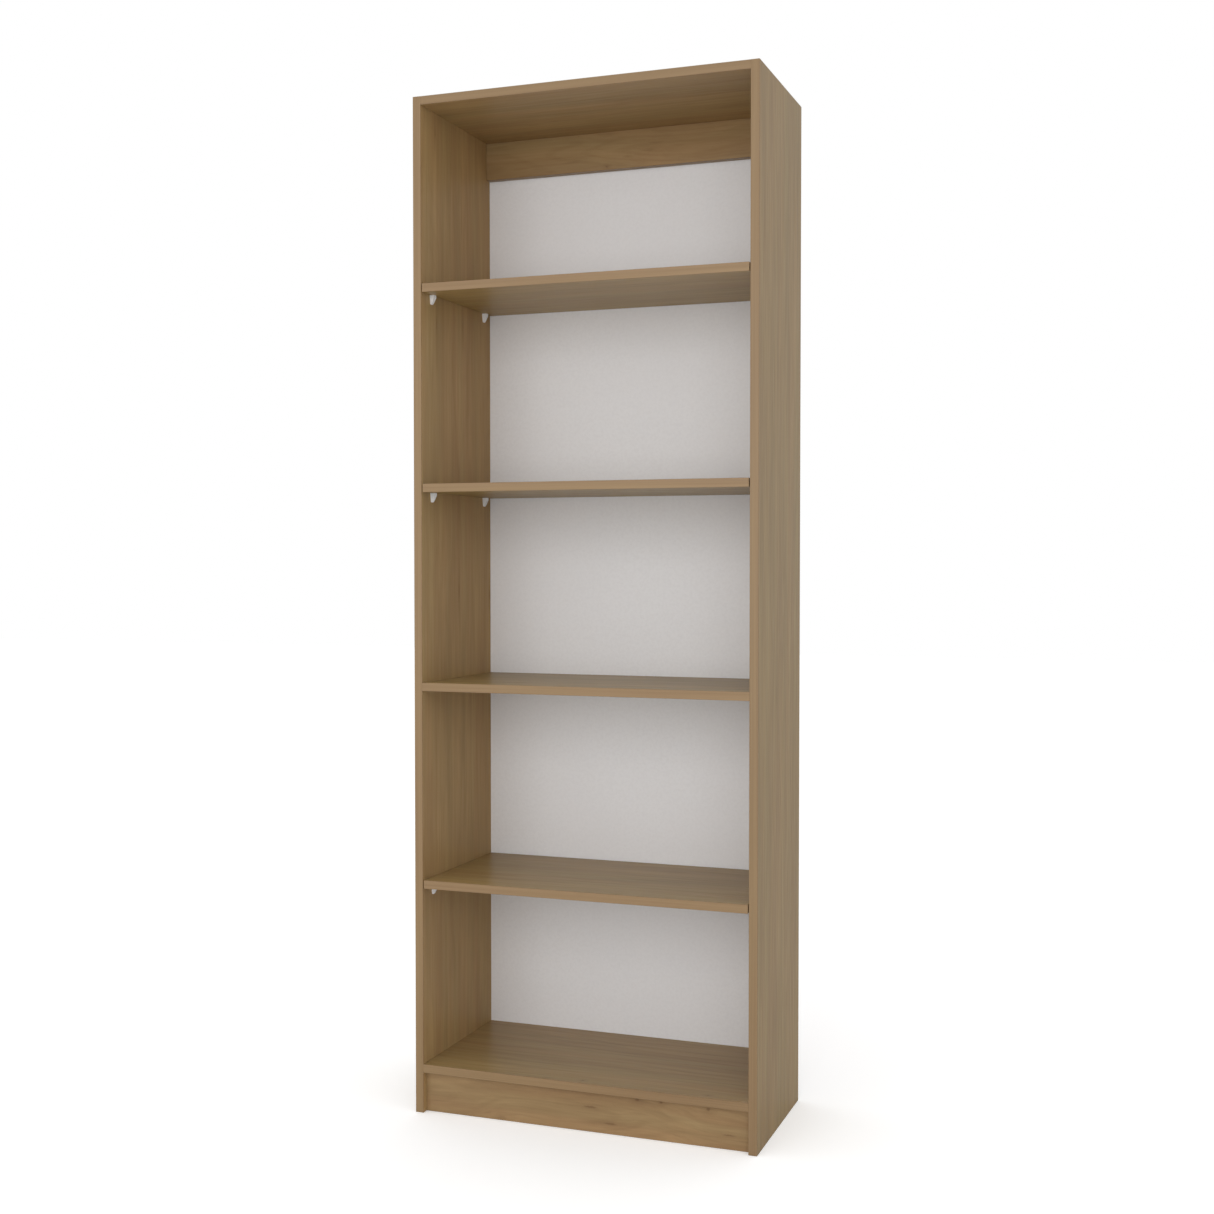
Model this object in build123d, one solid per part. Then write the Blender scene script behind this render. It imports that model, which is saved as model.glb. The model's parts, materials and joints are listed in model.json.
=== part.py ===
from build123d import *
import os

os.makedirs("parts", exist_ok=True)

# Tall open bookcase in wood-effect chipboard. The front faces -Y, and the origin is on the
# floor, under the middle of the whole. All sizes are in millimetres.

# Overall
width = 628.0
height = 1800.0
side_depth = 295.0
back_thick = 3.0
board = 15.0                # all the boards are the same thickness
band = 0.8                  # edge strip glued on the cut edges that show

# Heights of the boards' undersides
plinth_height = 72.0
first_step = 330.0          # bottom panel to the lowest shelf
shelf_step = 352.0          # shelf to shelf

# Boards that don't run the full depth or height
plinth_recess = 13.0        # plinth face behind the front of the case
rail_height = 70.0
back_inset = 2.0            # back panel's edge, inside the case's outline

# Loose shelves
shelf_end_gap = 2.0
shelf_rear_gap = 2.0

# Plastic shelf supports: a tapered foot with a pin that plugs into the side
support_reach = 8.6
support_wide = 9.0
support_drop = 16.5
support_platform = 4.5      # upright top of the foot
support_tip = 1.8           # radius of the rounded lower end
support_seat = 0.1          # under the shelf
pin_radius = 2.45
pin_length = 8.0
pin_below = 6.0             # pin's axis below the shelf
pin_hole_radius = 2.5
pin_hole_deep = 9.0
front_pin_setback = 39.0
pin_spacing = 224.0         # front pin to rear pin

# Cam fittings
cam_radius = 7.4
cam_tall = 11.9
cam_hole_radius = 7.5
cam_hole_deep = 12.4
cam_mouth_radius = 3.6
cam_pocket_radius = 4.6     # hollow that takes the bolt's head
cam_pocket_tall = 7.6
cam_setback = 24.0          # cam's axis from the board's end
bolt_bore_radius = 4.0
bolt_thread_radius = 2.5
bolt_thread_long = 10.0
cam_from_middle = 96.0      # front and rear cams of a deep board

# Wooden dowels
dowel_radius = 3.95
dowel_hole_radius = 4.0
dowel_in_side = 10.0
dowel_in_board = 19.0
dowel_from_middle = 56.0
edge_dowel_offset = 18.0    # rail and plinth: dowel beside the cam

# Nails through the back panel
nail_radius = 0.7
nail_long = 18.0
nail_head_radius = 1.8
nail_head_thick = 0.6
nail_pitch = 150.0

# Worked out from the sizes above
depth = side_depth + back_thick
front = -depth / 2
rear = front + side_depth
right = width / 2
inner = right - board
plinth_back = front + plinth_recess + board
lower_z = plinth_height + first_step
fixed_z = lower_z + shelf_step
middle_z = fixed_z + shelf_step
upper_z = middle_z + shelf_step
top_z = height - board
rail_z = top_z - rail_height
loose_shelves = {"lower": lower_z, "middle": middle_z, "upper": upper_z}
sides = {"left": -1, "right": 1}
front_pin_y = front + front_pin_setback
pin_rows = {"front": front_pin_y, "rear": front_pin_y + pin_spacing}


# A square-edged block between two corners
def block(x0, x1, y0, y1, z0, z1):
    centre = Pos((x0 + x1) / 2, (y0 + y1) / 2, (z0 + z1) / 2)
    return centre * Box(x1 - x0, y1 - y0, z1 - z0)


# Round rods along X and along Y
def rod_x(radius, x0, x1, y, z):
    centre = Pos((x0 + x1) / 2, y, z)
    return centre * Rot(0, 90, 0) * Cylinder(radius, abs(x1 - x0))


def rod_y(radius, y0, y1, x, z):
    centre = Pos(x, (y0 + y1) / 2, z)
    return centre * Rot(90, 0, 0) * Cylinder(radius, abs(y1 - y0))


# Write one node, as one solid or as a group of solids
def save(shape, node):
    solids = list(shape) if isinstance(shape, list) else list(shape.solids())
    result = solids[0] if len(solids) == 1 else Compound(children=solids)
    result.label = node
    export_step(result, f"parts/{node}.step")


# Round cam at the board's middle plane, its cross-slotted face up, flush with the board's
# face, and its mouth open to the bolt along +X
def cam_lock(place):
    face_z = board / 2
    body = Pos(0, 0, face_z - cam_tall / 2) * Cylinder(cam_radius, cam_tall)
    mouth = Pos(cam_radius / 2, 0, 0) * Rot(0, 90, 0) * Cylinder(cam_mouth_radius, cam_radius)
    pocket = Cylinder(cam_pocket_radius, cam_pocket_tall)
    slots = Box(8.0, 1.4, 3.0) + Box(1.4, 8.0, 3.0)
    return place * (body - mouth - pocket - Pos(0, 0, face_z) * slots)


# Bolt along +X from the side's inner face at 0: thread behind, head in front
def cam_bolt(place):
    head_x = cam_setback + 1.2
    outline = Polyline(
        (-bolt_thread_long, 0), (-bolt_thread_long, 1.4), (-bolt_thread_long + 1.5, bolt_thread_radius),
        (0, bolt_thread_radius), (0, 3.6), (1.6, 3.6), (1.6, 2.6), (head_x - 6.0, 2.6),
        (head_x - 5.2, 1.7), (head_x - 2.4, 1.7), (head_x - 2.0, 3.1), (head_x, 3.1), (head_x, 0),
        close=True)
    return place * revolve(make_face(outline), Axis.X)


# Wooden dowel along +X, from inside the side to inside the board's end
def dowel(place):
    long = dowel_in_side + dowel_in_board
    rod = Pos((dowel_in_board - dowel_in_side) / 2, 0, 0) * Rot(0, 90, 0) * Cylinder(dowel_radius, long)
    return place * chamfer(rod.edges().filter_by(GeomType.CIRCLE), 0.8)


# Each board that is fixed between the sides: its middle line, where its cams and dowels are,
# and which way its cam faces look. Joints are mirrored at the board's two ends.
flat_up = Rot(0, 0, 0)
flat_down = Rot(180, 0, 0)
face_back = Rot(-90, 0, 0)
deep_cams = [(-cam_from_middle, 0), (cam_from_middle, 0)]
deep_dowels = [(-dowel_from_middle, 0), (dowel_from_middle, 0)]
edge_cams = [(0, 0)]
edge_dowels = [(0, edge_dowel_offset)]
middle_y = (front + rear) / 2
fixings = {
    "top": (middle_y, top_z + board / 2, deep_cams, deep_dowels, flat_up),
    "fixed_shelf": (middle_y, fixed_z + board / 2, deep_cams, deep_dowels, flat_down),
    "bottom": (middle_y, plinth_height + board / 2, deep_cams, deep_dowels, flat_down),
    "rail": (rear - board / 2, rail_z + rail_height / 2, edge_cams, edge_dowels, face_back),
    "plinth": (plinth_back - board / 2, plinth_height / 2, edge_cams, edge_dowels, face_back),
}


# A place on a side's inner face, with +X pointing into the bookcase
def end_frame(side, y, z):
    turn = Rot(0, 0, 0) if side < 0 else Rot(0, 0, 180)
    return Pos(side * inner, y, z) * turn


board_holes = {name: [] for name in fixings}
side_holes = {name: [] for name in sides}
for name, (mid_y, mid_z, cams, dowels, facing) in fixings.items():
    locks = []
    bolts = []
    pegs = []
    face_gap = (board - cam_hole_deep) / 2
    for side_name, side in sides.items():
        for offset_y, offset_z in cams:
            y = mid_y + offset_y
            z = mid_z + offset_z
            axis = Pos(side * (inner - cam_setback), y, z) * facing
            mouth_turn = Rot(0, 0, 180) if side < 0 else Rot(0, 0, 0)
            locks.append(cam_lock(axis * mouth_turn))
            bolts.append(cam_bolt(end_frame(side, y, z)))
            board_holes[name].append(axis * Pos(0, 0, face_gap) * Cylinder(cam_hole_radius, cam_hole_deep))
            bore_end = side * (inner - cam_setback)
            board_holes[name].append(rod_x(bolt_bore_radius, bore_end, side * inner, y, z))
            thread_end = side * (inner + bolt_thread_long + 0.5)
            side_holes[side_name].append(rod_x(bolt_thread_radius, side * inner, thread_end, y, z))
        for offset_y, offset_z in dowels:
            y = mid_y + offset_y
            z = mid_z + offset_z
            pegs.append(dowel(end_frame(side, y, z)))
            board_end = side * (inner - dowel_in_board - 1.0)
            side_end = side * (inner + dowel_in_side + 1.0)
            board_holes[name].append(rod_x(dowel_hole_radius, board_end, side * inner, y, z))
            side_holes[side_name].append(rod_x(dowel_hole_radius, side * inner, side_end, y, z))
    save(locks, f"cam_locks_{name}")
    save(bolts, f"cam_bolts_{name}")
    save(pegs, f"dowels_{name}")

# Holes for the shelf supports' pins
for shelf_z in loose_shelves.values():
    for side_name, side in sides.items():
        for y in pin_rows.values():
            hole_end = side * (inner + pin_hole_deep)
            side_holes[side_name].append(
                rod_x(pin_hole_radius, side * inner, hole_end, y, shelf_z - pin_below))


# Evenly spaced places from low to high, no further apart than the pitch
def spread(low, high, pitch):
    count = int((high - low) / pitch) + 2
    return [low + (high - low) * i / (count - 1) for i in range(count)]


# A nail driven in from behind, its head flush with the back panel
def nail(x, z):
    shank = rod_y(nail_radius, depth / 2 - nail_long, depth / 2 - nail_head_thick, x, z)
    head = rod_y(nail_head_radius, depth / 2 - nail_head_thick, depth / 2, x, z)
    return shank + head


nail_low = plinth_height + board / 2
nail_high = top_z + board / 2
side_nail_x = right - board / 2
side_nail_z = spread(nail_low + 30, nail_high - 30, nail_pitch)
board_nail_x = spread(-inner + 60, inner - 60, nail_pitch)
side_nails = {name: [nail(side * side_nail_x, z) for z in side_nail_z] for name, side in sides.items()}
board_nails = {
    "top": [nail(x, nail_high) for x in board_nail_x],
    "fixed_shelf": [nail(x, fixed_z + board / 2) for x in board_nail_x],
    "bottom": [nail(x, nail_low) for x in board_nail_x],
}
all_nails = side_nails["left"] + side_nails["right"] + board_nails["top"]
all_nails = all_nails + board_nails["fixed_shelf"] + board_nails["bottom"]
save(all_nails, "back_panel_nails")

# The two sides, each with a strip on its front edge and one on its top end
for side_name, side in sides.items():
    x0 = min(side * inner, side * right)
    x1 = max(side * inner, side * right)
    core = block(x0, x1, front + band, rear, 0, height - band)
    save(core - (side_holes[side_name] + side_nails[side_name]), f"side_panel_{side_name}")
    save(block(x0, x1, front, front + band, 0, height - band), f"side_{side_name}_front_band")
    save(block(x0, x1, front, rear, height - band, height), f"side_{side_name}_top_band")

# The boards fixed between the sides
for name, node, z0 in [("top", "top_panel", top_z), ("fixed_shelf", "fixed_shelf", fixed_z),
                       ("bottom", "bottom_panel", plinth_height)]:
    core = block(-inner, inner, front + band, rear, z0, z0 + board)
    save(core - (board_holes[name] + board_nails[name]), node)
    save(block(-inner, inner, front, front + band, z0, z0 + board), f"{node}_band")

rail_core = block(-inner, inner, rear - board, rear, rail_z + band, top_z)
save(rail_core - board_holes["rail"], "back_rail")
save(block(-inner, inner, rear - board, rear, rail_z, rail_z + band), "back_rail_band")

plinth_core = block(-inner, inner, plinth_back - board, plinth_back, 0, plinth_height)
save(plinth_core - board_holes["plinth"], "plinth_board")

# The back panel is nailed on behind everything
panel = block(back_inset - right, right - back_inset, rear, depth / 2,
              plinth_height + back_inset, height - back_inset)
save(panel - all_nails, "back_panel")

# The loose shelves
shelf_end = inner - shelf_end_gap
for name, z0 in loose_shelves.items():
    save(block(-shelf_end, shelf_end, front + band, rear - shelf_rear_gap, z0, z0 + board), f"{name}_shelf")
    save(block(-shelf_end, shelf_end, front, front + band, z0, z0 + board), f"{name}_shelf_band")


# Shelf support with its top at 0 and its back on the side's face, reaching along +X: an
# upright top, then a taper both ways to the rounded tip
def shelf_support():
    tip_z = -support_drop + support_tip
    side_view = Plane.XZ * Polyline(
        (0, 0), (support_reach, 0), (support_reach, -support_platform),
        (2 * support_tip, tip_z), (0, tip_z), close=True)
    front_view = Plane.YZ * Polyline(
        (-support_wide / 2, 0), (support_wide / 2, 0), (support_wide / 2, -support_platform),
        (support_tip, tip_z), (-support_tip, tip_z), (-support_wide / 2, -support_platform), close=True)
    slab = extrude(make_face(side_view), support_wide, both=True)
    web = extrude(make_face(front_view), support_reach, both=True)
    tip = Pos(support_tip, 0, tip_z) * (Rot(0, 90, 0) * Cylinder(support_tip, 2 * support_tip))
    foot = (slab & web) + tip
    pin = rod_x(pin_radius, -pin_length, 0.5, 0, -pin_below + support_seat)
    pin = chamfer(pin.faces().sort_by(Axis.X)[0].edges(), 0.5)
    return foot + pin


support = shelf_support()
for shelf_name, shelf_z in loose_shelves.items():
    for side_name, side in sides.items():
        for row_name, y in pin_rows.items():
            place = end_frame(side, y, shelf_z - support_seat)
            save(place * support, f"support_{shelf_name}_{side_name}_{row_name}")
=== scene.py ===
import bpy
import bmesh
import json
import math
from mathutils import Matrix, Vector


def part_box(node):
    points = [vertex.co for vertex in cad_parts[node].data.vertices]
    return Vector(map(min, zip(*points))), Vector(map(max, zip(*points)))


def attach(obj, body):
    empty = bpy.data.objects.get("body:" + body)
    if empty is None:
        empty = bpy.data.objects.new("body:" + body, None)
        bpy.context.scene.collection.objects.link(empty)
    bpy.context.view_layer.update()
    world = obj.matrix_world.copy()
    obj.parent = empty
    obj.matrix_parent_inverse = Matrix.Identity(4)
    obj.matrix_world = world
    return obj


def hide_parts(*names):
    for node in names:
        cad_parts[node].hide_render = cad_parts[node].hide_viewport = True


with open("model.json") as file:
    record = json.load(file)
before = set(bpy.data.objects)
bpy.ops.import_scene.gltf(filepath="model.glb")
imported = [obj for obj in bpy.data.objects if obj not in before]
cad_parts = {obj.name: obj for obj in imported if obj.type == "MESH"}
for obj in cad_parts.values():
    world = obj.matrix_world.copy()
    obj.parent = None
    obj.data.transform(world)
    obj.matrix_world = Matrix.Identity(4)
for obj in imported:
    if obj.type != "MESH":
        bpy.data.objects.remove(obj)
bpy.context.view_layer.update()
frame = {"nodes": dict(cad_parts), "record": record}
mm = 0.001
axisIndex = {"X": 0, "Y": 1, "Z": 2}
print("frame loaded:", len(frame["nodes"]), "nodes")


# small helpers for node trees

def newMaterial(name):
    mat = bpy.data.materials.new(name)
    mat.use_nodes = True
    tree = mat.node_tree
    return mat, tree, tree.nodes["Principled BSDF"]


def addNode(tree, kind, inputs=None, **settings):
    node = tree.nodes.new(kind)
    for key, value in settings.items():
        setattr(node, key, value)
    for key, value in (inputs or {}).items():
        if isinstance(value, bpy.types.NodeSocket):
            tree.links.new(value, node.inputs[key])
        else:
            node.inputs[key].default_value = value
    return node


def ownPlace(tree):
    return addNode(tree, "ShaderNodeTexCoord").outputs["Object"]


def calc(tree, operation, a, b=0.0):
    return addNode(tree, "ShaderNodeMath", {0: a, 1: b}, operation=operation).outputs[0]


def calcVector(tree, operation, a, b):
    return addNode(tree, "ShaderNodeVectorMath", {0: a, 1: b}, operation=operation).outputs[0]


# low..high becomes fromValue..toValue, held at the ends
def fade(tree, value, low, high, fromValue=0.0, toValue=1.0):
    node = addNode(tree, "ShaderNodeMapRange", {"Value": value, "From Min": low, "From Max": high,
                                                "To Min": fromValue, "To Max": toValue})
    return node.outputs["Result"]


def blendColour(tree, amount, a, b, mode="MIX"):
    node = addNode(tree, "ShaderNodeMix", {0: amount, 6: a, 7: b}, data_type="RGBA", blend_type=mode)
    return node.outputs[2]


def noise(tree, vector, scale=1.0, detail=2.0, roughness=0.5, distortion=0.0):
    node = addNode(tree, "ShaderNodeTexNoise", {"Vector": vector, "Scale": scale, "Detail": detail,
                                                "Roughness": roughness, "Distortion": distortion})
    return node.outputs["Fac"]


def bump(tree, shader, height, distance, strength=1.0):
    node = addNode(tree, "ShaderNodeBump", {"Height": height, "Distance": distance, "Strength": strength})
    tree.links.new(node.outputs["Normal"], shader.inputs["Normal"])


# the object's own coordinates, turned so that x runs along the grain, and stretched
def grainVector(tree, grain, shift, along, across, warp=None):
    place = addNode(tree, "ShaderNodeMapping", {"Vector": ownPlace(tree), "Location": shift}).outputs[0]
    parts = addNode(tree, "ShaderNodeSeparateXYZ", {0: place}).outputs
    order = {"X": (0, 1, 2), "Z": (2, 1, 0), "Y": (1, 0, 2)}[grain]
    run, sideA, sideB = (parts[i] for i in order)
    if warp is not None:
        sideA = calc(tree, "ADD", sideA, warp)
        sideB = calc(tree, "ADD", sideB, warp)
    run = calc(tree, "MULTIPLY", run, along)
    sideA = calc(tree, "MULTIPLY", sideA, across)
    sideB = calc(tree, "MULTIPLY", sideB, across)
    return addNode(tree, "ShaderNodeCombineXYZ", {0: run, 1: sideA, 2: sideB}).outputs[0]


# wood-effect foil

streakWidth = 0.027                        # metres across the grain
decor = {
    "warm": (0.345, 0.225, 0.098, 1),      # reddish brown streaks
    "cool": (0.328, 0.231, 0.100, 1),      # olive brown streaks
    "dark": (0.150, 0.084, 0.036, 1),      # grain lines, flecks and knots
    # noise layer: cells in a metre along the grain and across it, detail, roughness
    "layers": {
        "wander": (1.3, 5.0, 2.0, 0.5),
        "ripple": (6.0, 14.0, 2.0, 0.5),
        "tints": (1.2, 0.8 / streakWidth, 2.0, 0.5),
        "wide": (3.0, 1.0 / streakWidth, 1.0, 0.5),
        "middle": (3.6, 2.7 / streakWidth, 2.0, 0.5),
        "fine": (9.0, 8.0 / streakWidth, 3.0, 0.6),
        "fibres": (24.0, 30.0 / streakWidth, 2.0, 0.6),
        "ringField": (1.6, 14.0, 1.0, 0.5),
        "fleckPatches": (4.0, 12.0, 1.0, 0.5),
        "flecks": (16.0, 4.0 / streakWidth, 1.0, 0.5),
    },
    # how strongly each layer darkens the foil, 0 to 1
    "wide": 0.22,
    "middle": 0.185,
    "fine": 0.14,
    "rings": 0.06,
    "flecks": 0.20,
    "pores": 0.26,
    "tintEdges": (0.36, 0.64),             # noise values where one tint gives way to the other
    "streakEdges": (0.34, 0.66),
    "fleckEdges": (0.60, 0.76),
    "patchEdges": (0.48, 0.62),
    "poreEdges": (0.64, 0.74),
    "ringCount": 70.0,                     # radians of ring over the whole range of the field
    "wander": 0.04,                        # metres that the streaks stray sideways
    "figuredWander": 0.09,                 # what a fully figured board adds to that
    "figuredRipple": 0.018,
    "figuredRings": 1.4,
    "figuredFlecks": 0.6,
    "lacquer": 0.32,                       # clear top coat of the foil
    "lacquerRoughness": 0.27,
    "roughness": (0.52, 0.64),
    "specular": 0.10,
    "relief": 0.03 * mm,                   # bump of the embossed foil
}
marks = {
    "core": 0.75,                          # darkness in the middle
    "halo": 0.30,                          # darkness of the stain around it
    "haloReach": 4.0,                      # in radii
    "raggedScale": 260.0,
    "ragged": 3 * mm,
}


# pin knots and long dark lenses, each given as x, y, z, radius, length against width
def addMarks(tree, colour, grain, knots):
    if not knots:
        return colour
    place = ownPlace(tree)
    ragged = addNode(tree, "ShaderNodeTexNoise", {"Vector": place, "Scale": marks["raggedScale"],
                                                  "Detail": 3.0})
    ragged = calcVector(tree, "SUBTRACT", ragged.outputs["Color"], (0.5, 0.5, 0.5))
    ragged = calcVector(tree, "MULTIPLY", ragged, [marks["ragged"]] * 3)
    place = calcVector(tree, "ADD", place, ragged)
    for x, y, z, radius, longer in knots:
        stretch = [1.0, 1.0, 1.0]
        stretch[axisIndex[grain]] = 1.0 / longer
        offset = calcVector(tree, "MULTIPLY", calcVector(tree, "SUBTRACT", place, (x, y, z)), stretch)
        away = addNode(tree, "ShaderNodeVectorMath", {0: offset}, operation="LENGTH").outputs["Value"]
        core = fade(tree, away, radius * 0.4, radius, marks["core"], 0.0)
        halo = fade(tree, away, radius * 0.5, radius * marks["haloReach"], marks["halo"], 0.0)
        colour = blendColour(tree, calc(tree, "MAXIMUM", core, halo), colour, decor["dark"])
    return colour


def woodFoil(name, grain="X", shift=(0, 0, 0), knots=(), figured=0.0, tone=1.0, tint=(1, 1, 1), lacquer=1.0):
    mat, tree, shader = newMaterial(name)

    def layer(key, warp=None):
        along, across, detail, roughness = decor["layers"][key]
        return noise(tree, grainVector(tree, grain, shift, along, across, warp), 1.0, detail, roughness)

    wander = decor["wander"] + decor["figuredWander"] * figured
    bend = calc(tree, "MULTIPLY", calc(tree, "SUBTRACT", layer("wander"), 0.5), wander)
    if figured:
        ripple = calc(tree, "SUBTRACT", layer("ripple"), 0.5)
        ripple = calc(tree, "MULTIPLY", ripple, decor["figuredRipple"] * figured)
        bend = calc(tree, "ADD", bend, ripple)
    fine = layer("fine", bend)

    tints = fade(tree, layer("tints", bend), *decor["tintEdges"])
    colour = blendColour(tree, tints, decor["warm"], decor["cool"])
    streaks = {"wide": layer("wide", bend), "middle": layer("middle", bend), "fine": fine}
    for key, streak in streaks.items():
        amount = fade(tree, streak, *decor["streakEdges"], 0.0, decor[key])
        colour = blendColour(tree, amount, colour, decor["dark"])

    # growth rings: level lines of a field stretched along the board
    rings = calc(tree, "SINE", calc(tree, "MULTIPLY", layer("ringField", bend), decor["ringCount"]))
    rings = fade(tree, rings, 0.2, 1.0, 0.0, decor["rings"] * (1 + decor["figuredRings"] * figured))
    colour = blendColour(tree, rings, colour, decor["dark"])

    # short flame-like flecks, in patches
    patches = fade(tree, layer("fleckPatches"), *decor["patchEdges"])
    flecks = decor["flecks"] * (1 + decor["figuredFlecks"] * figured)
    flecks = fade(tree, layer("flecks", bend), *decor["fleckEdges"], 0.0, flecks)
    colour = blendColour(tree, calc(tree, "MULTIPLY", flecks, patches), colour, decor["dark"])

    pores = fade(tree, layer("fibres", bend), *decor["poreEdges"])
    colour = blendColour(tree, calc(tree, "MULTIPLY", pores, decor["pores"]), colour, decor["dark"])
    colour = addMarks(tree, colour, grain, knots)

    # each board's own tone; on the side panels it also carries painted light and shade, lighter on the inner
    # faces and darker on the outer ones
    colour = blendColour(tree, 1.0, colour, tuple(tone * part for part in tint) + (1,), "MULTIPLY")
    tree.links.new(colour, shader.inputs["Base Color"])
    tree.links.new(fade(tree, fine, 0.3, 0.7, *decor["roughness"]), shader.inputs["Roughness"])
    shader.inputs["Specular IOR Level"].default_value = decor["specular"]
    shader.inputs["Coat Weight"].default_value = decor["lacquer"] * lacquer
    shader.inputs["Coat Roughness"].default_value = decor["lacquerRoughness"]
    relief = calc(tree, "SUBTRACT", calc(tree, "MULTIPLY", fine, 0.5), pores)
    bump(tree, shader, relief, decor["relief"], 0.6)
    return mat


edging = {
    # base and streak are darker than the foil's colours: painted shade for the front edges' stronger light
    "base": (0.265, 0.165, 0.078, 1),
    "streak": (0.218, 0.130, 0.058, 1),
    "corner": (0.160, 0.086, 0.035, 1),    # rounded corners are darker
    "cornerStrength": 0.55,
    "roughness": 0.42,
    "relief": 0.03 * mm,
}


# plastic edge strip printed to match, its streaks along the strip; its colours are set darker than the foil,
# as painted shade for the stronger light that falls on the front edges
def edgeStrip(name, grain="X", tone=1.0, corner=False):
    mat, tree, shader = newMaterial(name)
    streaks = noise(tree, grainVector(tree, grain, (0.3, 0.1, 0.2), 2.5, 260.0), 1.0, 3.0, 0.6)
    slow = noise(tree, grainVector(tree, grain, (0.9, 0.4, 0.7), 1.6, 30.0), 1.0, 2.0)
    colour = blendColour(tree, fade(tree, streaks, 0.35, 0.70), edging["base"], edging["streak"])
    colour = blendColour(tree, fade(tree, slow, 0.3, 0.7, 0.0, 0.2), colour, decor["cool"])
    if corner:
        colour = blendColour(tree, edging["cornerStrength"], colour, edging["corner"])
    if tone != 1.0:
        colour = blendColour(tree, 1.0, colour, (tone, tone, tone, 1), "MULTIPLY")
    tree.links.new(colour, shader.inputs["Base Color"])
    shader.inputs["Roughness"].default_value = edging["roughness"]
    bump(tree, shader, streaks, edging["relief"], 0.4)
    return mat


chips = {
    "pale": (0.52, 0.38, 0.22, 1),
    "mid": (0.36, 0.24, 0.13, 1),
    "dark": (0.16, 0.10, 0.055, 1),
    "size": 420.0,                         # cells in a metre
    "grit": 1600.0,
    "roughness": 0.85,
    "relief": 0.3 * mm,
}


# sawn chipboard, seen where the board has no strip and inside its holes
def chipboard(name):
    mat, tree, shader = newMaterial(name)
    place = ownPlace(tree)
    flakes = addNode(tree, "ShaderNodeTexVoronoi", {"Vector": place, "Scale": chips["size"]})
    shade = addNode(tree, "ShaderNodeSeparateColor", {0: flakes.outputs["Color"]}).outputs[0]
    grit = noise(tree, place, chips["grit"], 3.0, 0.7)
    colour = blendColour(tree, fade(tree, shade, 0.15, 0.85), chips["mid"], chips["pale"])
    gaps = fade(tree, flakes.outputs["Distance"], 0.45, 0.85)
    colour = blendColour(tree, calc(tree, "MULTIPLY", gaps, 0.8), colour, chips["dark"])
    colour = blendColour(tree, fade(tree, grit, 0.5, 0.8, 0.0, 0.4), colour, chips["dark"])
    tree.links.new(colour, shader.inputs["Base Color"])
    shader.inputs["Roughness"].default_value = chips["roughness"]
    bump(tree, shader, calc(tree, "SUBTRACT", grit, gaps), chips["relief"], 0.8)
    return mat


backing = {
    "white": (0.830, 0.836, 0.860, 1),
    "shade": (0.800, 0.802, 0.826, 1),
    "speck": (0.770, 0.772, 0.795, 1),
    "speckScale": 170.0,
    "foilRoughness": (0.52, 0.62),
    "foilRelief": 0.08 * mm,
    "board": (0.30, 0.19, 0.105, 1),
    "fibre": (0.17, 0.10, 0.052, 1),
    "fibreScale": 340.0,
    "boardRoughness": 0.78,
    "boardRelief": 0.12 * mm,
}


# white paper foil on the front of the back panel
def whiteFoil(name):
    mat, tree, shader = newMaterial(name)
    place = ownPlace(tree)
    mottle = noise(tree, place, backing["speckScale"], 3.0, 0.6)
    cloud = noise(tree, place, 2.2, 2.0)
    colour = blendColour(tree, fade(tree, cloud, 0.35, 0.65), backing["white"], backing["shade"])
    colour = blendColour(tree, fade(tree, mottle, 0.4, 0.65, 0.0, 0.5), colour, backing["speck"])
    tree.links.new(colour, shader.inputs["Base Color"])
    tree.links.new(fade(tree, mottle, 0.3, 0.7, *backing["foilRoughness"]), shader.inputs["Roughness"])
    bump(tree, shader, mottle, backing["foilRelief"], 0.5)
    return mat


# bare brown face and edges of the thin fibreboard
def fibreboard(name):
    mat, tree, shader = newMaterial(name)
    place = ownPlace(tree)
    wisps = noise(tree, place, backing["fibreScale"], 4.0, 0.75, 1.5)
    cloud = noise(tree, place, 5.0, 2.0)
    colour = blendColour(tree, fade(tree, wisps, 0.42, 0.68), backing["board"], backing["fibre"])
    colour = blendColour(tree, fade(tree, cloud, 0.3, 0.7, 0.0, 0.2), colour, backing["fibre"])
    tree.links.new(colour, shader.inputs["Base Color"])
    shader.inputs["Roughness"].default_value = backing["boardRoughness"]
    bump(tree, shader, wisps, backing["boardRelief"], 0.7)
    return mat


plastic = {
    "colour": (0.88, 0.885, 0.90, 1),
    "dull": (0.80, 0.81, 0.83, 1),
    "flowScale": 180.0,
    "grainScale": 2600.0,
    "roughness": (0.26, 0.36),
    "glow": 0.08,                          # light that passes into the plastic
    "glowDepth": 2 * mm,
    "relief": 0.02 * mm,
}


def mouldedPlastic(name):
    mat, tree, shader = newMaterial(name)
    place = ownPlace(tree)
    flow = noise(tree, place, plastic["flowScale"], 2.0)
    grainy = noise(tree, place, plastic["grainScale"], 2.0)
    colour = blendColour(tree, fade(tree, flow, 0.35, 0.7), plastic["colour"], plastic["dull"])
    tree.links.new(colour, shader.inputs["Base Color"])
    tree.links.new(fade(tree, flow, 0.3, 0.7, *plastic["roughness"]), shader.inputs["Roughness"])
    shader.inputs["Subsurface Weight"].default_value = plastic["glow"]
    shader.inputs["Subsurface Radius"].default_value = [plastic["glowDepth"]] * 3
    shader.inputs["Subsurface Scale"].default_value = 1.0
    bump(tree, shader, grainy, plastic["relief"], 0.5)
    return mat


# colour, its stain, least and greatest roughness, cells of stain in a metre
metals = {
    "castZinc": ((0.52, 0.51, 0.49, 1), (0.36, 0.35, 0.33, 1), (0.34, 0.52), 900.0),
    "platedSteel": ((0.66, 0.63, 0.54, 1), (0.48, 0.45, 0.37, 1), (0.24, 0.38), 500.0),
    "nailSteel": ((0.55, 0.55, 0.56, 1), (0.30, 0.29, 0.28, 1), (0.28, 0.46), 700.0),
}


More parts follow.
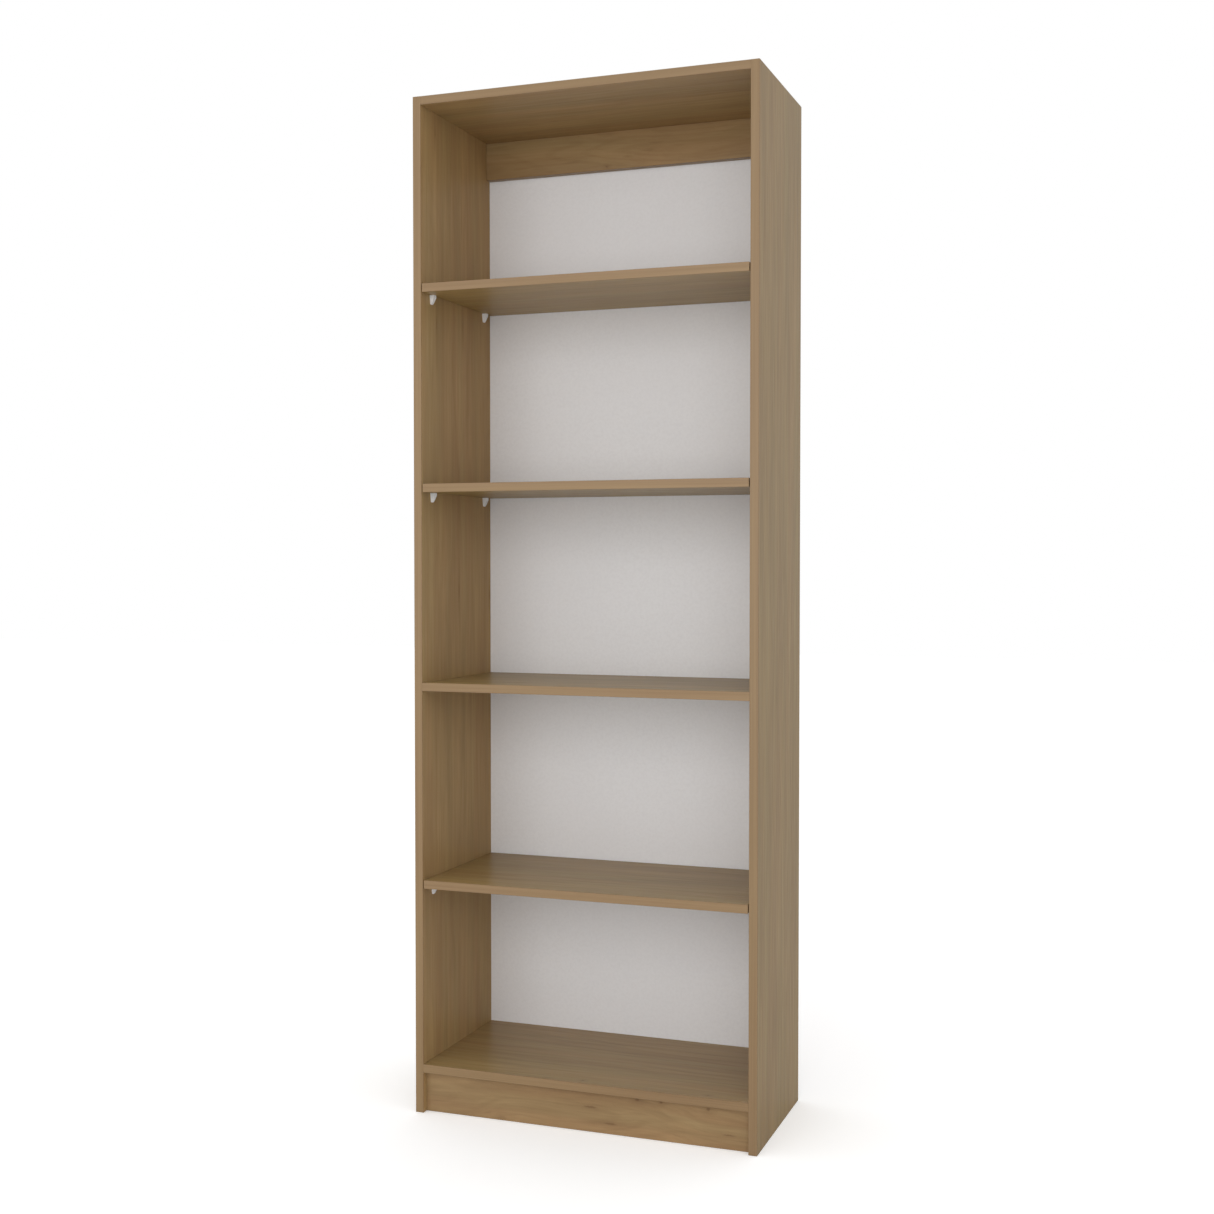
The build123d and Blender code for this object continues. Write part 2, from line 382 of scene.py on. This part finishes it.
def fittingMetal(name):
    bright, stain, roughness, scale = metals[name]
    mat, tree, shader = newMaterial(name)
    place = ownPlace(tree)
    spots = noise(tree, place, scale, 3.0, 0.65)
    cloud = noise(tree, place, scale * 0.2, 2.0)
    colour = blendColour(tree, fade(tree, spots, 0.45, 0.8, 0.0, 0.8), bright, stain)
    tree.links.new(colour, shader.inputs["Base Color"])
    tree.links.new(fade(tree, cloud, 0.3, 0.7, *roughness), shader.inputs["Roughness"])
    shader.inputs["Metallic"].default_value = 1.0
    bump(tree, shader, spots, 0.04 * mm, 0.6)
    return mat


peg = {"pale": (0.62, 0.45, 0.26, 1), "line": (0.42, 0.27, 0.14, 1), "roughness": 0.7, "relief": 0.1 * mm}


def beechPeg(name):
    mat, tree, shader = newMaterial(name)
    lines = noise(tree, grainVector(tree, "X", (0, 0, 0), 30.0, 1500.0), 1.0, 3.0, 0.6)
    colour = blendColour(tree, fade(tree, lines, 0.45, 0.75), peg["pale"], peg["line"])
    tree.links.new(colour, shader.inputs["Base Color"])
    shader.inputs["Roughness"].default_value = peg["roughness"]
    bump(tree, shader, lines, peg["relief"], 0.6)
    return mat


rawChip = chipboard("rawChipboard")
frontFoil = whiteFoil("whiteFoil")
bareFibre = fibreboard("bareFibreboard")
supportPlastic = mouldedPlastic("mouldedWhitePlastic")
camZinc = fittingMetal("castZinc")
boltSteel = fittingMetal("platedSteel")
nailSteel = fittingMetal("nailSteel")
pegBeech = beechPeg("beechPeg")
print("shared materials made")


# mesh helpers

meshing = {
    "merge": 0.002 * mm,                   # corners closer than this are one
    "flatAngle": 0.5,                      # degrees between triangles of one flat face
    "onPlane": 0.02 * mm,
    "onFace": 0.4 * mm,                    # depth of a bevelled board's outer face
    "facing": 0.6,                         # how squarely a foiled face looks outwards
}


# a merged copy of a CAD node's mesh, its flat faces joined up
def meshOf(node):
    bm = bmesh.new()
    bm.from_mesh(frame["nodes"][node].data)
    bmesh.ops.remove_doubles(bm, verts=bm.verts, dist=meshing["merge"])
    bmesh.ops.dissolve_limit(bm, angle_limit=math.radians(meshing["flatAngle"]), verts=bm.verts,
                             edges=bm.edges, use_dissolve_boundaries=False, delimit={"NORMAL"})
    bm.normal_update()
    return bm


# breaks or rounds edges, and returns the new faces
def soften(bm, edges, width, segments):
    done = bmesh.ops.bevel(bm, geom=edges, offset=width, offset_type="OFFSET", affect="EDGES",
                           segments=segments, profile=0.5, material=-1, clamp_overlap=True)
    return done["faces"]


def sharpEdges(bm, degrees):
    return [edge for edge in bm.edges
            if len(edge.link_faces) == 2 and edge.calc_face_angle() > math.radians(degrees)]


# edges that lie on two of the outer planes of the box
def outlineEdges(bm, low, high):
    found = []
    for edge in bm.edges:
        a, b = (v.co for v in edge.verts)
        planes = 0
        for i in range(3):
            onLow = max(abs(a[i] - low[i]), abs(b[i] - low[i])) < meshing["onPlane"]
            onHigh = max(abs(a[i] - high[i]), abs(b[i] - high[i])) < meshing["onPlane"]
            planes += onLow or onHigh
        if planes >= 2:
            found.append(edge)
    return found


def bodyHolding(node):
    for body, members in frame["record"]["behaviour"]["bodies"].items():
        if node in members:
            return body
    raise ValueError(node)


# turns a bmesh into a piece that stands for a CAD node and moves with its body
def finishPiece(bm, name, materials, node, smoothAngle=35.0):
    mesh = bpy.data.meshes.new(name)
    bm.to_mesh(mesh)
    bm.free()
    for mat in materials:
        mesh.materials.append(mat)
    piece = bpy.data.objects.new(name, mesh)
    bpy.context.scene.collection.objects.link(piece)
    mesh.shade_smooth()
    mesh.set_sharp_from_angle(angle=math.radians(smoothAngle))
    evenShading = piece.modifiers.new("evenShading", "WEIGHTED_NORMAL")   # keeps the broad faces flat
    evenShading.weight = 100
    evenShading.keep_sharp = True
    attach(piece, bodyHolding(node))
    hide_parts(node)


# boards

boards = {
    "arris": 0.25 * mm,                    # broken corner of a sawn board
    "arrisSegments": 2,
    "grain": {"side_panel_left": "Z", "side_panel_right": "Z"},
    "facing": {"side_panel_left": "X", "side_panel_right": "X", "back_rail": "Y", "plinth_board": "Y"},
    # outer faces of the sides, in place of what their inner faces have: the same foil set darker, as painted
    # shade for the dimmer light outside the case
    "outerLookPaintedShade": {"tone": 0.89, "tint": (1.01, 1.01, 0.96), "lacquer": 0.95},
    "look": {
        # the inner faces of both sides get a high tone: painted light, making the walls inside the case
        # lighter than the same foil elsewhere
        "side_panel_left": {
            "shift": (0.31, 0.22, 0.0), "tone": 1.31, "tint": (1.005, 0.995, 1.03), "lacquer": 0.6,
            "knots": ((-0.299, -0.087, 1.41, 0.0016, 16.0), (-0.299, 0.023, 1.42, 0.0016, 9.0),
                      (-0.299, 0.004, 0.93, 0.0016, 14.0), (-0.299, 0.140, 0.92, 0.0020, 6.0),
                      (-0.299, -0.091, 1.75, 0.0016, 7.0)),
        },
        "side_panel_right": {
            "shift": (1.70, 0.64, 0.4), "tone": 1.27, "tint": (1.01, 0.995, 1.03), "lacquer": 0.6,
        },
        "top_panel": {
            "shift": (0.2, 2.1, 0.9), "figured": 0.25, "tone": 1.11, "tint": (1.02, 1.0, 0.98),
            "lacquer": 1.25,
        },
        "bottom_panel": {
            "shift": (0.9, 0.3, 3.3), "tone": 1.07, "tint": (1.0, 0.995, 0.95), "lacquer": 1.5,
            "knots": ((0.0, -0.134, 0.087, 0.0024, 1.5), (0.225, -0.135, 0.087, 0.0024, 1.5)),
        },
        "fixed_shelf": {"shift": (2.4, 1.2, 1.1), "tone": 0.98, "tint": (0.985, 1.0, 0.85), "lacquer": 1.4},
        "lower_shelf": {"shift": (3.1, 0.9, 2.2), "tone": 1.03, "tint": (1.0, 1.0, 0.88), "lacquer": 1.4},
        "middle_shelf": {"shift": (1.3, 2.7, 0.6), "tone": 0.99, "tint": (0.985, 1.0, 0.82), "lacquer": 1.3},
        "upper_shelf": {"shift": (4.2, 1.6, 2.9), "tone": 1.14, "tint": (1.0, 0.995, 0.85), "lacquer": 1.3},
        "back_rail": {
            "shift": (0.6, 0.2, 1.4), "figured": 0.8, "tone": 1.05, "tint": (1.01, 0.99, 1.04),
            "knots": ((-0.053, 0.131, 1.721, 0.0022, 1.6),),
        },
        "plinth_board": {
            "shift": (5.0, 0.1, 0.35), "figured": 1.0, "tone": 1.02, "tint": (1.01, 0.98, 1.08),
            "knots": ((0.014, -0.136, 0.043, 0.003, 6.0), (0.051, -0.136, 0.018, 0.0025, 7.0),
                      (0.100, -0.136, 0.065, 0.004, 1.4), (0.143, -0.136, 0.066, 0.003, 1.2),
                      (0.226, -0.136, 0.064, 0.004, 1.2), (0.262, -0.136, 0.024, 0.002, 9.0)),
        },
    },
}

for node, look in boards["look"].items():
    low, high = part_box(node)
    facing = axisIndex[boards["facing"].get(node, "Z")]
    bm = meshOf(node)
    soften(bm, outlineEdges(bm, low, high), boards["arris"], boards["arrisSegments"])
    bm.normal_update()
    for face in bm.faces:
        centre = face.calc_center_median()
        depth = min(abs(centre[facing] - low[facing]), abs(centre[facing] - high[facing]))
        foiled = depth < meshing["onFace"] and abs(face.normal[facing]) > meshing["facing"]
        face.material_index = 0 if foiled else 1
    grain = boards["grain"].get(node, "X")
    foils = [woodFoil("foil_" + node, grain, **look), rawChip]
    # outer faces of the sides take a darker copy of the same foil: painted shade
    if node.startswith("side_panel"):
        outward = -1 if low.x < 0 else 1
        foils.append(woodFoil("outer_painted_shade_foil_" + node, grain, **{**look, **boards["outerLookPaintedShade"]}))
        for face in bm.faces:
            if face.material_index == 0 and face.normal.x * outward > meshing["facing"]:
                face.material_index = 2
    finishPiece(bm, node + "_board", foils, node)
print("boards made:", len(boards["look"]))


# edge strips

strips = {
    "corner": 0.4 * mm,
    "segments": 3,
    "shortest": 0.1,                       # only long edges are rounded, in metres
    "smoothAngle": 60.0,
    # node: direction it faces, grain, tone
    "fit": {
        "side_left_front_band": ((0, -1, 0), "Z", 1.0),
        "side_right_front_band": ((0, -1, 0), "Z", 0.93),
        "side_left_top_band": ((0, 0, 1), "Y", 1.0),
        "side_right_top_band": ((0, 0, 1), "Y", 1.0),
        "top_panel_band": ((0, -1, 0), "X", 0.95),
        "bottom_panel_band": ((0, -1, 0), "X", 1.0),
        "fixed_shelf_band": ((0, -1, 0), "X", 1.0),
        "lower_shelf_band": ((0, -1, 0), "X", 1.0),
        "middle_shelf_band": ((0, -1, 0), "X", 1.0),
        "upper_shelf_band": ((0, -1, 0), "X", 1.0),
        "back_rail_band": ((0, 0, -1), "X", 0.9),
    },
}

for node, (facing, grain, tone) in strips["fit"].items():
    low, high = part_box(node)
    outward = Vector(facing)
    bm = meshOf(node)
    outer = []
    for edge in outlineEdges(bm, low, high):
        onFront = all((v.co - (low + high) / 2).dot(outward) > 0 for v in edge.verts)
        if onFront and edge.calc_length() > strips["shortest"]:
            outer.append(edge)
    for face in soften(bm, outer, strips["corner"], strips["segments"]):
        face.material_index = 1
    flat = edgeStrip("strip_" + node, grain, tone)
    corner = edgeStrip("corner_" + node, grain, tone, corner=True)
    finishPiece(bm, node + "_strip", [flat, corner], node, strips["smoothAngle"])
print("edge strips made:", len(strips["fit"]))


# back panel

backPanel = {"arris": 0.3 * mm, "arrisSegments": 2}

low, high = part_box("back_panel")
bm = meshOf("back_panel")
soften(bm, outlineEdges(bm, low, high), backPanel["arris"], backPanel["arrisSegments"])
bm.normal_update()
for face in bm.faces:
    onFront = face.calc_center_median().y < low.y + meshing["onFace"]
    face.material_index = 0 if onFront and face.normal.y < -meshing["facing"] else 1
finishPiece(bm, "back_panel_board", [frontFoil, bareFibre], "back_panel")
print("back panel made")


# fittings

# start of the node's name: material, softened edge, degrees that make an edge
fittings = {
    "cam_locks_": (camZinc, 0.25 * mm, 30.0),
    "cam_bolts_": (boltSteel, 0.12 * mm, 40.0),
    "dowels_": (pegBeech, 0.2 * mm, 40.0),
    "back_panel_nails": (nailSteel, 0.12 * mm, 40.0),
}

for start, (mat, softness, sharpAngle) in fittings.items():
    for node in sorted(n for n in frame["nodes"] if n.startswith(start)):
        bm = meshOf(node)
        soften(bm, sharpEdges(bm, sharpAngle), softness, 2)
        finishPiece(bm, node + "_fitting", [mat], node)
print("fittings made")


# shelf supports

support = {
    "platform": 4.5 * mm,                  # upright part at the top
    "tipReach": 3.6 * mm,
    "tipRadius": 1.7 * mm,
    "tipTaper": 0.52,                      # foot's width at the tip, against the top
    "corner": 0.7 * mm,
    "cornerAngle": 35.0,
    "rim": 1.2 * mm,
    "dish": 0.7 * mm,                      # hollow in the face that looks into the case
    "dishArea": 12 * mm * mm,              # smaller faces aren't hollowed
    "pinRadius": 2.45 * mm,
    "pinBelow": 5.9 * mm,
    "pinTip": 0.5 * mm,
    "pinSegments": 40,
    "merge": 0.02 * mm,
    "smoothAngle": 40.0,
}


# one support, its top at 0 and its back at x = 0, reaching along +x
def supportShape(reach, wide, drop):
    bm = bmesh.new()
    outline = [(0, 0), (0, -drop), (support["tipReach"], -drop), (reach, -support["platform"]), (reach, 0)]
    flank = bm.faces.new([bm.verts.new((x, -wide / 2, z)) for x, z in outline])
    grown = bmesh.ops.extrude_face_region(bm, geom=[flank])["geom"]
    bmesh.ops.translate(bm, vec=(0, wide, 0), verts=[g for g in grown if isinstance(g, bmesh.types.BMVert)])
    bmesh.ops.recalc_face_normals(bm, faces=bm.faces)
    lowest = [v for v in bm.verts if v.co.z < -drop + 0.1 * mm]
    bmesh.ops.scale(bm, vec=(1, support["tipTaper"], 1), verts=lowest)
    tipEdges = [edge for edge in bm.edges if all(v in lowest for v in edge.verts)
                and abs(edge.verts[0].co.y - edge.verts[1].co.y) > 1 * mm]
    soften(bm, tipEdges, support["tipRadius"], 5)
    bm.normal_update()
    inward = [face for face in bm.faces if face.normal.x > 0.5 and face.calc_area() > support["dishArea"]]
    bmesh.ops.inset_region(bm, faces=inward, thickness=support["rim"], depth=-support["dish"],
                           use_even_offset=True)
    bm.normal_update()
    corners = [edge for edge in sharpEdges(bm, support["cornerAngle"])
               if not all(v.co.x < 0.1 * mm for v in edge.verts)]     # the back stays flat against the side
    soften(bm, corners, support["corner"], 3)
    bmesh.ops.remove_doubles(bm, verts=bm.verts, dist=support["merge"])
    return bm


def addPin(bm, pinLong):
    middle = Matrix.Translation((-pinLong / 2, 0, -support["pinBelow"]))
    turn = Matrix.Rotation(math.radians(90), 4, "Y")
    radius = support["pinRadius"]
    bmesh.ops.create_cone(bm, cap_ends=True, segments=support["pinSegments"], radius1=radius,
                          radius2=radius, depth=pinLong, matrix=middle @ turn)
    tip = [edge for edge in bm.edges if all(abs(v.co.x + pinLong) < 0.01 * mm for v in edge.verts)]
    soften(bm, tip, support["pinTip"], 3)


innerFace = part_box("top_panel")[1].x
for node in sorted(n for n in frame["nodes"] if n.startswith("support_")):
    low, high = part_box(node)
    side = -1 if low.x < 0 else 1
    reach = innerFace - min(abs(low.x), abs(high.x))
    pinLong = max(abs(low.x), abs(high.x)) - innerFace
    bm = supportShape(reach, high.y - low.y, high.z - low.z)
    addPin(bm, pinLong)
    if side > 0:
        bmesh.ops.rotate(bm, cent=(0, 0, 0), matrix=Matrix.Rotation(math.pi, 3, "Z"), verts=bm.verts)
    bmesh.ops.translate(bm, vec=(side * innerFace, (low.y + high.y) / 2, high.z), verts=bm.verts)
    finishPiece(bm, node + "_moulding", [supportPlastic], node, support["smoothAngle"])
print("shelf supports made")


# floor, light and camera

studio = {
    "front": 1.00,                         # brightness of the surroundings, by direction
    "sides": 0.85,
    "back": 0.80,
    "above": 0.15,                         # added overhead
    "aboveSpread": 3.0,                    # higher keeps it nearer to straight up
    "leftMore": 0.01,                      # added on the left, taken away on the right
    "backdrop": (1.0, 1.0, 1.0, 1),
    "floor": (0.90, 0.90, 0.90, 1),
    "floorRoughness": 0.9,
    "floorBounce": (0.75, 0.75, 0.75, 1),  # what the floor throws back on the bookcase
    "floorGlow": 0.24,
    "floorSize": 14.0,
    "floorDrop": 0.5 * mm,                 # gap under the bookcase
}

world = bpy.data.worlds.new("studioSky")
bpy.context.scene.world = world
world.use_nodes = True
sky = world.node_tree
direction = addNode(sky, "ShaderNodeTexCoord").outputs["Generated"]
direction = addNode(sky, "ShaderNodeSeparateXYZ", {0: direction}).outputs
towardFront = fade(sky, direction[1], 0.0, -1.0, 0.0, studio["front"] - studio["sides"])
towardBack = fade(sky, direction[1], 0.0, 1.0, 0.0, studio["back"] - studio["sides"])
overhead = calc(sky, "POWER", fade(sky, direction[2], 0.0, 1.0), studio["aboveSpread"])
overhead = calc(sky, "MULTIPLY", overhead, studio["above"])
leftRight = fade(sky, direction[0], -1.0, 1.0, studio["leftMore"], -studio["leftMore"])
brightness = calc(sky, "ADD", towardFront, towardBack)
for part in (overhead, leftRight, studio["sides"]):
    brightness = calc(sky, "ADD", brightness, part)
lighting = addNode(sky, "ShaderNodeBackground", {"Color": (1, 1, 1, 1), "Strength": brightness})
backdrop = addNode(sky, "ShaderNodeBackground", {"Color": studio["backdrop"], "Strength": 1.0})
seen = addNode(sky, "ShaderNodeLightPath").outputs["Is Camera Ray"]
shown = addNode(sky, "ShaderNodeMixShader", {0: seen, 1: lighting.outputs[0], 2: backdrop.outputs[0]})
sky.links.new(shown.outputs[0], sky.nodes["World Output"].inputs["Surface"])

floorMesh = bmesh.new()
bmesh.ops.create_grid(floorMesh, x_segments=1, y_segments=1, size=studio["floorSize"])
bmesh.ops.translate(floorMesh, vec=(0, 0, -studio["floorDrop"]), verts=floorMesh.verts)
floorData = bpy.data.meshes.new("studioFloor")
floorMesh.to_mesh(floorData)
floorMesh.free()
floor = bpy.data.objects.new("studioFloor", floorData)
bpy.context.scene.collection.objects.link(floor)
floorPaint, floorTree, floorShader = newMaterial("floorPaint")
floorShader.inputs["Base Color"].default_value = studio["floor"]
floorShader.inputs["Roughness"].default_value = studio["floorRoughness"]
floorShader.inputs["Specular IOR Level"].default_value = 0.0
floorShader.inputs["Emission Color"].default_value = (1, 1, 1, 1)
floorShader.inputs["Emission Strength"].default_value = studio["floorGlow"]
bounce = addNode(floorTree, "ShaderNodeBsdfDiffuse", {"Color": studio["floorBounce"]})
seen = addNode(floorTree, "ShaderNodeLightPath").outputs["Is Camera Ray"]
shown = addNode(floorTree, "ShaderNodeMixShader", {0: seen, 1: bounce.outputs[0], 2: floorShader.outputs[0]})
floorTree.links.new(shown.outputs[0], floorTree.nodes["Material Output"].inputs["Surface"])
floorData.materials.append(floorPaint)

softbox = {
    "place": (0.3, -3.4, 1.4),
    "aim": (0, 0, 0.95),
    "wide": 4.0,
    "high": 2.2,
    "watts": 38.0,
    "colour": (1.0, 0.99, 0.97),
}

lamp = bpy.data.lights.new("softbox", "AREA")
lamp.shape = "RECTANGLE"
lamp.size = softbox["wide"]
lamp.size_y = softbox["high"]
lamp.energy = softbox["watts"]
lamp.color = softbox["colour"]
lampHolder = bpy.data.objects.new("softbox", lamp)
bpy.context.scene.collection.objects.link(lampHolder)
lampHolder.visible_camera = False
lampHolder.location = softbox["place"]
lampAim = Vector(softbox["aim"]) - Vector(softbox["place"])
lampHolder.rotation_euler = lampAim.to_track_quat("-Z", "Y").to_euler()

view = {
    "place": (0.9786, -2.6883, 0.9804),
    "heading": 20.09,                      # degrees to the left of straight at the front
    "tilt": -1.566,
    "lens": 47.32,
    "sensor": 36.0,
    "farthest": 50.0,
}

camera = bpy.data.cameras.new("camera")
camera.lens = view["lens"]
camera.sensor_width = view["sensor"]
camera.clip_end = view["farthest"]
cameraHolder = bpy.data.objects.new("camera", camera)
bpy.context.scene.collection.objects.link(cameraHolder)
cameraHolder.location = view["place"]
cameraHolder.rotation_euler = (math.radians(90 + view["tilt"]), 0, math.radians(view["heading"]))
bpy.context.scene.camera = cameraHolder
bpy.context.scene.view_settings.view_transform = "Standard"
print("studio set")

bpy.context.view_layer.update()
